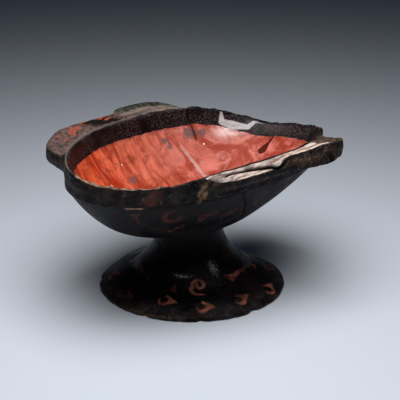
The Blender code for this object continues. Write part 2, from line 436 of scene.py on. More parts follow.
def hook_spiral(flat):
    """A spiral that opens on the left into a long hooked tail."""
    coil = stroke(flat, curl(4.0, 190.0, -200.0, 0.66, 34, (1.6, -0.8)), (1.1, 1.0, 0.9, 0.9, 0.8))
    line = [(-2.3, -0.9), (-3.4, -3.4), (-2.8, -5.6), (-0.4, -7.2), (4.8, -7.6)]
    return np.maximum(coil, stroke(flat, line, (1.0, 1.2, 1.2, 0.9, 0.1)))


def wedge(flat):
    """A solid triangle with a drawn-out tail."""
    tail = stroke(flat, [(-6.2, -1.4), (-1.0, -1.0)], (0.1, 0.6))
    return np.maximum(solid(flat, [(3.2, -1.7), (0.9, 3.8), (-2.8, -1.5)]) + 0.2, tail)


def branch(flat):
    """An arrowhead whose shaft winds away to the right."""
    head = solid(flat, [(5.6, 0.6), (-6.0, 3.2), (-1.6, -3.4)])
    line = [(2.6, 0.2), (7.5, 1.7), (11.0, 1.1), (15.0, 3.2), (20.0, 3.0)]
    return np.maximum(head, stroke(flat, line, (1.5, 1.0, 1.2, 0.9, 1.0)))


def broken_ring(flat):
    """A bold ring left open at one side."""
    return stroke(flat, curl(3.4, 60.0, 360.0, 0.08, 26), (0.6, 1.1, 1.2, 0.9, 0.3))


def tee(flat):
    """A short bar over a hooked upright."""
    bar = stroke(flat, [(-3.4, 3.4), (0.0, 3.8), (3.4, 3.2)], (0.3, 1.0, 0.9))
    upright = stroke(flat, [(1.2, 3.4), (1.4, -1.0), (0.4, -5.0)], (1.1, 0.9, 0.5))
    return np.maximum(bar, upright)


def double_scroll(flat):
    """Two coils that face each other across one stem."""
    left = stroke(flat, curl(2.6, 20.0, 340.0, 0.5, 24, (-3.2, 0.6)), (0.8, 0.8, 0.6))
    right = stroke(flat, curl(2.6, 160.0, -160.0, 0.5, 24, (3.2, -0.6)), (0.8, 0.8, 0.6))
    stem = stroke(flat, [(-8.0, -2.6), (-3.0, -2.4), (1.0, 2.2), (7.4, 2.4)], (0.1, 0.7, 0.8, 0.1))
    return np.maximum.reduce([left, right, stem])


def paint(grid, centre, marks, outside):
    """Largest signed distance of all marks, each drawn in the plane that touches the surface.

    A mark is (shape, angle, height, turn, size, mirror). It sits on the point with that angle about the
    centre and that height, among those where outside is true; u runs level and v up the slope.
    """
    normals = outward(grid)
    angle = bearing(grid, centre)
    depth = np.full(grid.shape[:2], FAR_OFF)
    for shape, at, height, turned, size, mirror in marks:
        apart = np.abs(turn(angle, at)) + np.abs(grid[..., 2] - height) * 1.5 + 90.0 * ~outside
        nearest = np.unravel_index(np.argmin(apart), apart.shape)
        normal = normals[nearest]
        level = np.array([-np.sin(np.radians(at)), np.cos(np.radians(at)), 0.0])
        rise = np.cross(normal, level)
        away = grid - grid[nearest]
        across = away @ level * mirror
        up = away @ rise
        near = np.maximum(np.abs(across), np.abs(up)) < MARK_REACH * size
        near &= np.abs(away @ normal) < MARK_DEPTH
        tilt = np.radians(turned)
        flat = np.stack([across[near], up[near]], axis=-1) / size
        flat = flat @ np.array([[np.cos(tilt), -np.sin(tilt)], [np.sin(tilt), np.cos(tilt)]])
        depth[near] = np.maximum(depth[near], shape(flat) * size)
    return depth


def in_scene(name, data):
    """A new object at the origin, linked to the scene."""
    thing = bpy.data.objects.new(name, data)
    bpy.context.scene.collection.objects.link(thing)
    return thing


def closed_grid(name, grid, first_pole, last_pole, facts):
    """A closed mesh: quads between rows, a fan to the pole at each end, and facts as vertex numbers."""
    rows, columns, _ = grid.shape
    points = np.concatenate([grid.reshape(-1, 3), [first_pole, last_pole]]) * MM
    pole = rows * columns
    corner = np.arange(pole).reshape(rows, columns)
    beside = np.roll(corner, -1, axis=1)
    faces = np.stack([corner[:-1], corner[1:], beside[1:], beside[:-1]], axis=-1).reshape(-1, 4).tolist()
    faces += np.stack([np.full(columns, pole), corner[0], beside[0]], axis=-1).tolist()
    faces += np.stack([np.full(columns, pole + 1), beside[-1], corner[-1]], axis=-1).tolist()
    mesh = bpy.data.meshes.new(name)
    mesh.from_pydata(points, [], faces)
    mesh.validate()
    for key, values in facts.items():
        layer = mesh.attributes.new(key, "FLOAT", "POINT")
        flat = np.concatenate([values.ravel(), [values[0].mean(), values[-1].mean()]])
        layer.data.foreach_set("value", flat.astype(np.float32))
    mesh.shade_smooth()
    return in_scene(name, mesh)


def spot(grid, centre, size):
    """Soft patch exp(-(distance / size)^2) around a point; the size may differ by axis."""
    return np.exp(-np.sum(((grid - np.asarray(centre)) / size) ** 2, axis=-1))


def between(q, start, end, soft=0.35):
    """1 where the place q lies between two keys, soft at both ends."""
    return smooth((q - start) / soft + 0.5) * smooth((end - q) / soft + 0.5)


def unrolled(grid, at, radius):
    """The outside laid flat: radius times the angle from one bearing, and the height."""
    return np.stack([np.radians(turn(bearing(grid, CENTRE), at)) * radius, grid[..., 2]], axis=-1)


# Cracks in millimetres: the rim's in space, the side's on the outside laid flat.
RIM_CRACK = [(41.5, 45.0, 92.0), (40.1, 38.8, 90.1), (39.1, 38.0, 85.3), (40.2, 34.8, 79.3),
             (38.6, 30.1, 72.9)]
SIDE_CRACK = [(-3.0, 77.5), (-2.6, 74.0), (-0.6, 70.0), (1.8, 66.0), (3.6, 61.0), (7.0, 55.5)]

# Strokes inside the bowl: a line in space and half widths along it.
BASIN_STROKES = {
    "scratch": ([(27.2, 33.1, 71.2), (28.4, 26.8, 65.3), (28.4, 20.2, 59.7), (28.2, 14.0, 55.7),
                 (32.0, 8.0, 52.9), (38.0, 2.0, 52.0)], (0.5, 1.1, 1.3, 1.1, 0.8, 0.2)),
    # A whitish film whose pale colour is partly a painted highlight on the far inside wall.
    "film_and_highlight": ([(60.3, 29.2, 86.0), (58.5, 26.9, 80.4), (63.4, 22.8, 78.1), (70.8, 15.9, 76.4),
              (76.4, 14.8, 79.2), (82.5, 6.0, 78.3)], (1.0, 1.9, 2.9, 1.6, 1.1, 0.5)),
    "drip": ([(77.1, -0.8, 73.9), (74.0, -0.6, 71.7), (70.9, -0.3, 69.5), (68.0, 0.1, 67.6),
              (65.7, 0.3, 66.1)], (0.7, 0.8, 1.1, 2.3, 2.9)),
}

# Soft patches: (strength, centre, size by axis).
SMUDGES = (
    (1.1, (36.6, 35.0, 77.0), (5.0, 4.0, 4.5)), (1.0, (44.6, 31.0, 75.8), (4.2, 3.0, 3.0)),
    (0.9, (19.0, 38.0, 75.5), (3.4, 3.0, 2.4)), (0.8, (20.5, 36.0, 71.5), (2.8, 2.4, 2.0)),
    (0.55, (-17.6, 29.9, 62.4), (7.0, 4.0, 4.0)), (0.5, (2.0, -40.0, 66.0), (8.0, 6.0, 4.0)),
)
PINK_SCUFF = ((1.4, (60.0, 22.0, 75.5), (9.0, 8.0, 3.6)),)
# A painted highlight: a grey sheen on the black inner band at the far rim.
RIM_SHEEN = ((1.2, (78.0, 12.0, 80.0), (9.0, 12.0, 5.0)),)
RUST_PATCH = ((1.1, (-59.0, -31.5, 82.0), (12.0, 7.0, 5.5)),)
OCHRE_PATCH = ((1.2, (-42.5, -45.5, 83.0), (4.5, 4.0, 7.0)),)
# White specks; the one at (41.3, 26.7, 70.4) is a painted highlight on a glossy bead.
SPECKS_AND_GLINT = tuple((1.0, at, 0.9) for at in (
    (-18.7, 38.5, 70.8), (-38.0, 27.8, 65.7), (41.3, 26.7, 70.4), (-52.0, -20.0, 66.0), (-30.0, -14.0, 51.5)))
STEM_BLUSH = ((1.2, (6.505, -22.686, 23.8), (6.0, 6.0, 3.0)),)


def patches(grid, places):
    """Sum of soft patches, cut off at 1."""
    return np.clip(sum(strength * spot(grid, centre, size) for strength, centre, size in places), 0.0, 1.0)


def crack_line(away, width):
    """Bell exp(-(distance / width)^2) across a crack."""
    return np.exp(-(away / width) ** 2)


def inked(depth, where):
    """A signed distance kept only in one region and cut off a few millimetres either side."""
    return np.clip(np.where(where, depth, FAR_OFF), -PAINT_LIMIT, PAINT_LIMIT)


def break_crack(around, distance, radius):
    """The split in the broken ear: a bell whose centre wanders from 0.9 to 2.8 mm outside the rim line."""
    centre = radius + 0.9 + 1.9 * smooth((around - 236.0) / 40.0) + 0.18 * ragged(around, 0.7)
    width = 0.25 + 0.30 * span(around, 236.0, 276.0, 16.0)
    return crack_line(distance - centre, width) * span(around, 233.0, 277.0, 3.0)


def bowl_masks(grid, q, angle):
    """The bowl's regions as soft masks from the places q, used by both its relief and its paint."""
    around = np.broadcast_to(angle, q.shape)
    reach = np.broadcast_to(ear_reach(angle), q.shape)
    radius = np.broadcast_to(rim_radius(angle), q.shape)
    distance = np.linalg.norm(grid[..., :2] - CENTRE, axis=-1)
    whole = smooth((reach - 1.0) / 4.0) * (around < 180.0)
    ear_top = whole * between(q, 3.0, 5.2)
    body = (q > 10.5).astype(float)
    return {
        "around": around,
        "back": bump(around, 8.0, 44.0),
        "band": between(q, 1.0, 10.0),
        "inner": between(q, 0.0, 1.6),
        "lip": between(q, 1.2, 3.4),
        "ear_top": ear_top,
        "ear_side": whole * between(q, 5.0, 9.0),
        "break_top": span(around, 221.0, 320.0, 6.0) * between(q, 3.0, 5.0, 0.6),
        "stump_side": span(around, 224.0, 320.0, 6.0) * between(q, 5.0, 9.2),
        "bare_lobe": ear_top * span(around, *BARE_LOBE, 12.0),
        "split": break_crack(around, distance, radius) * between(q, 2.5, 6.0),
        "rim_crack": line_distance(grid, RIM_CRACK)[0],
        "side_crack": line_distance(unrolled(grid, 250.0, 48.0), SIDE_CRACK)[0] - FAR_OFF * (1.0 - body),
        "body": body,
    }


def drying_checks(grid, m):
    """Fine slanted cracks on the outside near the broken ear: sin(2.3 s) above 0.55, s across the slant."""
    flat = unrolled(grid, 280.0, 50.0)
    slant = flat[..., 0] - 0.75 * flat[..., 1] + 1.2 * rough(grid, 12.0, 2, 53)
    lines = np.maximum(np.sin(slant * 2.3) - 0.55, 0.0) * span(m["around"], STUB_START, 312.0, 12.0)
    return lines * m["body"] * smooth((grid[..., 2] - 56.0) / 8.0)


def bowl_relief(grid, q, m):
    """Wear, splinters, carved relief and cracks as one height along the normal, in millimetres."""
    lumps = 0.22 * rough(grid, 17.0, 2, 3)
    edge = m["band"] * (0.22 + 0.8 * m["back"]) * rough(grid, 4.2, 3, 11)
    inner = m["inner"] * (0.08 + 0.35 * m["back"]) * rough(grid, 2.6, 3, 5)
    fibres = 0.36 * rough(grid, (26.0, 1.5, 1.5), 2, 23) + 0.16 * rough(grid, (9.0, 0.8, 0.8), 2, 29)
    torn = (0.42 * m["break_top"] + 0.45 * m["stump_side"] + 0.5 * m["bare_lobe"]) * fibres
    pitted = (m["ear_side"] + m["stump_side"]) * 0.4 * rough(grid, 2.6, 2, 31)
    flow = grid[..., 0] * 0.9 + 5.0 * rough(grid, (15.0, 15.0, 40.0), 2, 41)
    waves = 0.28 * np.sin(flow * 1.1 + 0.25 * grid[..., 1]) + 0.25 * rough(grid, 3.0, 2, 43)
    carved = m["ear_top"] * (1.0 - m["bare_lobe"]) * smooth((5.0 - q) / 0.7) * waves
    lip = m["lip"] * 0.35 * rough(grid, 3.0, 2, 47) * (1.0 + 1.2 * bump(m["around"], 190.0, 30.0))
    height = lumps + edge + inner + torn + pitted + carved + lip - 2.1 * m["split"]
    height = height - 1.3 * crack_line(m["rim_crack"], 0.75) - 0.8 * crack_line(m["side_crack"], 0.5)
    return height - 1.1 * m["checks"]


def bowl_marks():
    """The strokes on the bowl's body: the pictured ones, and plainer repeats round the far side."""
    marks = [(tee, 193.5, 68.0, 0.0, 1.1, 1), (broken_ring, 208.3, 67.4, 0.0, 1.35, 1),
             (double_scroll, 225.6, 64.0, 6.0, 0.95, 1), (double_scroll, 240.5, 61.2, -8.0, 0.9, -1),
             (double_scroll, 207.4, 56.2, 8.0, 0.8, 1), (tee, 172.0, 64.0, 10.0, 1.0, -1)]
    for step, at in enumerate(range(266, 266 + 260, 20)):
        shape = (broken_ring, double_scroll, tee)[step % 3]
        marks.append((shape, at % 360, 65.0, 14.0 * (step % 4), 1.0, 1 - 2 * (step % 2)))
    return marks


def ear_strokes(grid):
    """Signed distance of the strokes painted on the whole ear's top, drawn in plan."""
    plan = grid[..., :2]
    lines = (
        ([(-32.6, 67.2), (-42.8, 56.0)], (0.8, 1.3, 1.0)), ([(-31.2, 64.2), (-44.2, 51.6)], (0.8, 1.2, 1.1)),
        ([(-28.6, 64.2), (-34.4, 57.4)], (0.9, 1.2, 0.7)), ([(-37.0, 65.0), (-29.8, 60.2)], (0.5, 1.0, 0.8)),
        ([(-44.0, 57.4), (-37.4, 56.6)], (0.7, 1.0, 0.5)), ([(-26.8, 66.8), (-18.4, 66.8)], (1.0, 1.0, 0.5)),
        ([(-24.8, 66.4), (-25.0, 62.4), (-20.8, 61.6)], (0.8, 0.7, 0.3)),
        ([(-14.0, 66.0), (-9.8, 65.2), (-3.5, 67.3), (2.6, 67.6)], (0.6, 1.6, 1.3, 0.5)),
        ([(-12.0, 60.0), (-8.0, 61.4), (-3.0, 60.6)], (1.2, 1.7, 0.8)),
        ([(-52.0, 55.0), (-49.0, 59.5), (-44.0, 61.0), (-42.0, 64.5)], (0.5, 0.8, 0.7, 0.4)),
        ([(-56.5, 50.0), (-52.0, 50.8), (-48.6, 48.0)], (0.5, 0.8, 0.5)),
    )
    depth = np.full(plan.shape[:2], FAR_OFF)
    near = (np.abs(plan[..., 0] + 27.0) < 35.0) & (plan[..., 1] > 40.0)
    for line, widths in lines:
        depth[near] = np.maximum(depth[near], stroke(plan[near], line, 0.72 * np.array(widths)))
    return depth


def boxed(points, box, margin):
    """Points held inside a box in metres, with a margin in millimetres."""
    lo, hi = box
    return np.clip(points, np.array(lo) / MM + margin, np.array(hi) / MM - margin)


def bowl_facts(grid, q, m, inside):
    """The painted and worn regions of the bowl, for its material."""
    around = m["around"]
    outside = q > OUTSIDE
    basin = q < 1.3
    dark = 1.6 * m["split"] + crack_line(m["rim_crack"], 0.7) + crack_line(m["side_crack"], 0.6)
    strip = between(q, 3.05, 5.25, 0.3) * (1.0 - 0.85 * span(around, 294.0, 340.0, 12.0))
    strokes = {name: inked(stroke(grid, *drawn), basin) for name, drawn in BASIN_STROKES.items()}
    masks = {name: m[name] for name in ("band", "inner", "ear_top", "bare_lobe")}
    return strokes | masks | {
        "inside": np.clip(inside, -30.0, 60.0),
        "paint": inked(paint(grid, CENTRE, bowl_marks(), outside), outside),
        "ear_paint": inked(ear_strokes(grid), m["ear_top"] > 0.02),
        "pale": m["break_top"] * strip,
        "stub_top": m["break_top"] * between(q, 3.0, 5.4, 0.4) * span(around, 286.0, 340.0, 12.0),
        "lobe_edge": m["bare_lobe"] * smooth((q - 3.5) / 1.4),
        "ear_middle": m["ear_top"] * span(around, 92.0, 118.0, 8.0),
        "side": np.clip(m["ear_side"] + m["stump_side"], 0.0, 1.0),
        "dark": np.clip(dark, 0.0, 1.0),
        "lip_wear": m["lip"] * span(around, 166.0, 214.0, 12.0),
        "lip_line": between(q, 2.45, 3.15, 0.3) * span(around, 84.0, 176.0, 12.0),
        "checks": 2.0 * m["checks"],
        "smudge": patches(grid, SMUDGES) * basin,
        "pink": patches(grid, PINK_SCUFF) * basin,
        # Painted highlight: a grey sheen on the far rim's inner band.
        "rim_sheen": patches(grid, RIM_SHEEN) * basin,
        "rust": patches(grid, RUST_PATCH) * (q > 4.5),
        "ochre": patches(grid, OCHRE_PATCH) * (q > 4.0),
        # White specks, one of them a painted highlight on a glossy bead.
        "speck_and_glint": patches(grid, SPECKS_AND_GLINT),
        "gap": span(around, 190.5, 201.5, 3.0) * between(q, 10.45, 11.05, 0.25),
        # Painted shade: a black line in the groove under the band's step.
        "groove": between(q, 10.0, 11.6, 0.2) * (q < 11.9),
    }


def make_bowl_piece():
    """The bowl with its relief and its painted and worn regions."""
    angle = np.arange(BOWL_COLUMNS) * 360.0 / BOWL_COLUMNS
    grid, q = bowl_grid(angle)
    basin_end = int(np.argmax(q[:, 0] >= 0.0))
    body_start = int(np.argmax(q[:, 0] >= BODY_PLACE))
    grid = soften(grid, basin_end - 3, body_start + 3, 1)
    m = bowl_masks(grid, q, angle)
    m["checks"] = drying_checks(grid, m)
    # The last rows meet the stem, so they stay flat.
    height = bowl_relief(grid, q, m)
    height[-4:] = 0.0
    shaped = boxed(grid + outward(grid) * (height - 0.15)[..., None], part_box("cup_bowl"), BOX_MARGIN)
    shaped[-4:] = grid[-4:]
    # Length along each column from the basin's edge, positive on the way to the middle.
    step = np.linalg.norm(np.diff(grid, axis=0), axis=-1)
    length = np.concatenate([np.zeros((1, len(angle))), np.cumsum(step, axis=0)])
    facts = bowl_facts(grid, q, m, length[basin_end] - length)
    return closed_grid("carved_bowl", shaped, shaped[0].mean(axis=0), grid[-1].mean(axis=0), facts)


# The flags round the skirt: (angle, height, turn, mirror).
FOOT_FLAGS = (
    (171.0, 6.1, 0, 1), (204.5, 7.7, 0, 1), (231.5, 6.2, -2, 1), (259.0, 6.7, 14, 1), (287.0, 5.4, 10, 1),
    (316.0, 6.6, 10, -1), (346.0, 7.5, -15, 1), (18.0, 8.0, 20, 1), (48.0, 8.0, -10, -1), (77.0, 7.0, 25, 1),
    (106.0, 8.0, 0, 1), (138.0, 7.0, 15, -1),
)


def foot_marks():
    """The strokes on the skirt: the pictured ones, and repeats round the far side."""
    marks = [(flag_curl, at, rise, tilt, 1.05, side) for at, rise, tilt, side in FOOT_FLAGS]
    for shape, rise, angles in ((hook_spiral, 13.7, (226.0, 328.0, 30.0, 92.0)),
                                (wedge, 11.0, (203.5, 308.0, 62.0, 124.0)),
                                (branch, 13.5, (267.5, 0.0, 140.0))):
        marks += [(shape, at, rise, 0.0, 1.0, 1) for at in angles]
    return marks


def foot_facts(grid, zone, angle):
    """The painted, worn and glinting regions of the foot, for its material."""
    around = np.broadcast_to(angle, grid.shape[:2])
    reach = np.linalg.norm(grid[..., :2], axis=-1)
    height = grid[..., 2]
    seen = np.broadcast_to(zone < 4, grid.shape[:2])
    # Painted highlight: two glints on the skirt, partly white dust specks.
    glint = bump(around, 210.8, 8.5) * np.exp(-((height - 16.8) / 0.8) ** 2)
    glint = glint + 1.1 * bump(around, 249.9, 4.5) * np.exp(-((height - 19.6) / 2.6) ** 2)
    edge = np.where(zone == 3, 0.6, smooth((reach - 53.5) / 3.0) * 0.55)
    return {
        "paint": inked(paint(grid, np.zeros(2), foot_marks(), seen), True),
        "fade": 1.0 - 0.65 * bump(around, 170.0, 26.0),
        # Painted light: the outer skirt beyond the bowl's shadow is coloured lighter, with a grey mottle.
        "outer": smooth((reach - 44.0) / 9.0) * seen,
        "edge_wear": edge * (0.35 + 0.8 * bump(around, 196.0, 30.0)) * seen,
        "glint": np.clip(glint, 0.0, 1.0),
        "blush": patches(grid, STEM_BLUSH),
    }


def make_foot_piece():
    """The foot with its turned skirt, worn edge and painted signed distances."""
    angle = np.arange(FOOT_COLUMNS) * 360.0 / FOOT_COLUMNS
    grid, zones = foot_grid(angle)
    grid = soften(grid, 4, int(np.argmax(zones == 3)) + 4, 2)
    zone = zones[:, None]
    worn = np.where(zone == 3, 0.5, np.where(zone == 2, 0.06, 0.03)) * rough(grid, 3.6, 3, 19)
    height = np.where(zone == 4, 0.0, 0.22 * rough(grid, 15.0, 2, 7) + worn - 0.2)
    height[:5] = 0.0
    shaped = grid + outward(grid) * height[..., None]
    shaped = boxed(shaped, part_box("stem_foot"), BOX_MARGIN * np.array([1.0, 1.0, 0.0]))
    facts = foot_facts(grid, zone, angle)
    return closed_grid("turned_foot", shaped, grid[0].mean(axis=0), grid[-1].mean(axis=0), facts)


class Graph:
    """A material's nodes, added one by one."""

    def __init__(self, name):
        """Start an empty material with one Principled shader."""
        self.material = bpy.data.materials.new(name)
        self.material.use_nodes = True
        self.tree = self.material.node_tree
        self.shader = self.tree.nodes["Principled BSDF"]
        self.place = self.add("ShaderNodeTexCoord").outputs["Object"]

    def add(self, kind, sockets=(), **settings):
        """Add a node with its settings, and the values or links of its sockets."""
        node = self.tree.nodes.new(kind)
        for key, value in settings.items():
            setattr(node, key, value)
        for key, value in dict(sockets).items():
            self.put(node.inputs[key], value)
        return node

    def put(self, socket, value):
        """Link a socket to another, or set its plain value."""
        if isinstance(value, bpy.types.NodeSocket):
            self.tree.links.new(value, socket)
        elif isinstance(value, tuple) and len(value) == 3 and socket.type == "RGBA":
            socket.default_value = (*value, 1.0)
        else:
            socket.default_value = value

    def fact(self, name):
        """A number kept on the vertices."""
        return self.add("ShaderNodeAttribute", attribute_name=name).outputs["Fac"]

    def maths(self, operation, first, second=0.0):
        """One arithmetic step."""
        return self.add("ShaderNodeMath", {0: first, 1: second}, operation=operation).outputs[0]

    def times(self, first, second):
        """Two numbers multiplied."""
        return self.maths("MULTIPLY", first, second)

    def frayed(self, value, amount, noise):
        """A value shifted by up to half the amount either way, as a noise says."""
        return self.maths("ADD", value, self.times(self.maths("SUBTRACT", noise, 0.5), amount))

    def speckled(self, name, amount, scale, low, high):
        """A vertex number as a mask whose edge is broken up by noise."""
        return self.ramp(self.frayed(self.fact(name), amount, self.noise(scale, 4.0)), low, high)

    def ramp(self, value, low, high):
        """0 at low, 1 at high, smooth between and level beyond."""
        sockets = {"Value": value, "From Min": low, "From Max": high}
        return self.add("ShaderNodeMapRange", sockets, interpolation_type="SMOOTHSTEP").outputs["Result"]

    def scaled(self, factors):
        """Object coordinates times a factor for each axis: a low factor draws a pattern out."""
        return self.add("ShaderNodeMapping", {"Vector": self.place, "Scale": factors}).outputs[0]

    def noise(self, scale, detail=4.0, vector=None, distortion=0.0, roughness=0.55):
        """Noise from about 0.25 to 0.75 over the object's own coordinates."""
        sockets = {"Vector": vector or self.place, "Scale": scale, "Detail": detail}
        sockets.update({"Distortion": distortion, "Roughness": roughness})
        return self.add("ShaderNodeTexNoise", sockets).outputs[0]

    def mix(self, share, first, second):
        """Blend two colours."""
        return self.add("ShaderNodeMix", {0: share, 6: first, 7: second}, data_type="RGBA").outputs[2]

    def coat(self, under, over, *shares):
        """One colour laid over another as far as the product of the shares says."""
        share = shares[0]
        for factor in shares[1:]:
            share = self.times(share, factor)
        return self.mix(share, under, over)

    def blend(self, share, first, second):
        """Blend two numbers."""
        return self.add("ShaderNodeMix", {0: share, 2: first, 3: second}, data_type="FLOAT").outputs[0]

    def finish(self, colour, roughness, gloss, height):
        """Set the shader: colour, roughness, an even gloss, and fine relief from a height."""
        relief = {"Height": height, "Distance": RELIEF_DEPTH, "Strength": RELIEF_STRENGTH}
        self.put(self.shader.inputs["Normal"], self.add("ShaderNodeBump", relief).outputs[0])
        self.put(self.shader.inputs["Base Color"], colour)
        self.put(self.shader.inputs["Roughness"], roughness)
        self.shader.inputs["Specular IOR Level"].default_value = gloss
        return self.material


# Materials: noise scales per metre, the gloss of each piece, and fine relief in metres.
CLOUD = 70.0
PATCHY = 150.0
GRIT = 380.0
STROKE_EDGE = 420.0
FINE = 900.0
BOWL_GLOSS = 0.11
FOOT_GLOSS = 0.08
RELIEF_DEPTH = 0.0007
RELIEF_STRENGTH = 0.7

# Colours in linear light; a pair is blended by a noise.
LACQUER = (0.0035, 0.0032, 0.005), (0.013, 0.0075, 0.0068)
# A painted reflection: the bluish sheen the black lacquer shows from its surroundings.
PAINTED_BLUE_SHEEN = (0.0095, 0.0105, 0.0145)
BAND_LACQUER = (0.008, 0.0065, 0.007), (0.036, 0.024, 0.021)
FLECKS = (0.105, 0.078, 0.062)
RUST = (0.085, 0.03, 0.022)
OCHRE = (0.07, 0.058, 0.03), (0.3, 0.17, 0.1)
BODY_STROKE = (0.066, 0.018, 0.013)
GRAINY_BLACK = (0.0065, 0.0052, 0.006)
GRAINY_GREY = (0.15, 0.105, 0.112)
CHECK_GREY = (0.06, 0.056, 0.06)
# Painted highlight: the grey sheen at the far rim.
SHEEN_GREY = (0.115, 0.088, 0.1)
# Painted shade in the groove under the band's step.
GROOVE_SHADE_BLACK = (0.001, 0.001, 0.001)
CRACK_BLACK = (0.002, 0.0015, 0.0015)
VIVID_RED = (0.4, 0.027, 0.006), (0.8, 0.126, 0.045)
PALER_RED = (0.345, 0.044, 0.021), (0.77, 0.205, 0.13)
SCUFFED_RED = (0.36, 0.044, 0.022), (0.78, 0.25, 0.2)
THIN_RED = (0.78, 0.25, 0.16)
STAIN_RED = (0.24, 0.036, 0.018)
CLOUD_RED = (0.3, 0.038, 0.016)
BROWN_RED = (0.33, 0.07, 0.045)
HAIR_PINK = (0.74, 0.4, 0.34)
SCUFF_PINK = (0.98, 0.7, 0.69)
SCRATCH_PINK = (0.72, 0.5, 0.45)
SMUDGE_GREY = (0.16, 0.105, 0.105)
DRIP_BROWN = (0.1, 0.012, 0.006)
# White specks, one a painted highlight.
SPECK_AND_GLINT_WHITE = (0.9, 0.75, 0.68)
RIND_BROWN = (0.2, 0.055, 0.04)
# Whitish film, partly a painted highlight.
FILM_HIGHLIGHT_GREY = (0.66, 0.65, 0.69)
EAR_BROWN = (0.045, 0.036, 0.03), (0.185, 0.105, 0.1)
EAR_GREEN = (0.095, 0.105, 0.08)
EAR_BLACK = (0.012, 0.009, 0.009)
EAR_MIDDLE = (0.007, 0.0055, 0.0055)
EAR_STROKE = (0.4, 0.085, 0.045)
EAR_SIDE = (0.03, 0.025, 0.022), (0.13, 0.07, 0.042)
WOOD = (0.27, 0.19, 0.16), (0.82, 0.68, 0.61)
WOOD_STAIN = (0.3, 0.15, 0.115)
DULL_WOOD = (0.085, 0.068, 0.058), (0.23, 0.175, 0.155)
DULL_GRAIN = (0.32, 0.25, 0.22)
LOBE_RIM = (0.014, 0.013, 0.011), (0.06, 0.062, 0.048)
STUB_MOTTLE = (0.028, 0.02, 0.016), (0.15, 0.105, 0.085)
LIP_TAN = (0.1, 0.055, 0.038), (0.36, 0.23, 0.16)
LIP_EDGE = (0.27, 0.21, 0.18)
GAP_TAN = (0.32, 0.18, 0.11)
FOOT_LACQUER = (0.0016, 0.0015, 0.0022), (0.0085, 0.0045, 0.0042)
# Painted light: the lit outer skirt's lighter grey mottle.
LIT_FOOT_MOTTLE = (0.012, 0.0105, 0.0125), (0.034, 0.022, 0.022)
FOOT_STROKE = (0.09, 0.026, 0.02), (0.3, 0.098, 0.066)
STEM_RED = (0.045, 0.008, 0.006)
EDGE_BROWN = (0.06, 0.037, 0.027)
# Painted highlight: the foot's white glints, partly dust.
GLINT_WHITE = (1.0, 1.0, 1.0)


def black_lacquer(g, cloud, worn, grit):
    """The outside: blue-black, browner on the worn band, with its strokes, stains and cracks, and painted
    light: a bluish sheen, a grey highlight at the far rim and shade in the groove.
    """
    band = g.fact("band")
    dark = g.mix(g.ramp(cloud, 0.42, 0.66), *LACQUER)
    # Painted reflection: a bluish sheen laid into the colour in patches.
    dark = g.coat(dark, PAINTED_BLUE_SHEEN, g.ramp(g.noise(24.0, 3.0), 0.48, 0.66), 0.7)
    dark = g.coat(dark, g.mix(g.ramp(worn, 0.40, 0.62), *BAND_LACQUER), band, g.ramp(cloud, 0.34, 0.58))
    dark = g.coat(dark, FLECKS, g.ramp(grit, 0.60, 0.70), g.maths("ADD", g.times(band, 0.75), 0.12))
    dark = g.coat(dark, RUST, g.speckled("rust", 1.7, 110.0, 0.35, 0.75), 0.8)
    ochre = g.mix(g.ramp(grit, 0.4, 0.6), *OCHRE)
    dark = g.coat(dark, ochre, g.speckled("ochre", 2.0, 240.0, 0.35, 0.9), 0.8)
    painted = g.speckled("paint", 1.0, STROKE_EDGE, -0.2, 0.25)
    dark = g.coat(dark, BODY_STROKE, painted, g.ramp(worn, 0.26, 0.46), 0.9)
    inner = g.fact("inner")
    dark = g.coat(dark, GRAINY_BLACK, inner, 0.8)
    grains = g.times(g.ramp(g.noise(1250.0, 4.0, None, 0.4), 0.48, 0.66), g.ramp(cloud, 0.30, 0.60))
    dark = g.coat(dark, GRAINY_GREY, inner, grains, 0.9)
    dark = g.coat(dark, CHECK_GREY, g.fact("checks"), g.ramp(worn, 0.36, 0.6))
    # Painted highlight: a grey sheen on the far rim's inner band.
    dark = g.coat(dark, SHEEN_GREY, g.fact("rim_sheen"), g.ramp(cloud, 0.35, 0.6))
    # Painted shade: the groove under the band's step is coloured black.
    return g.coat(dark, GROOVE_SHADE_BLACK, g.fact("groove"), g.ramp(worn, 0.36, 0.5))


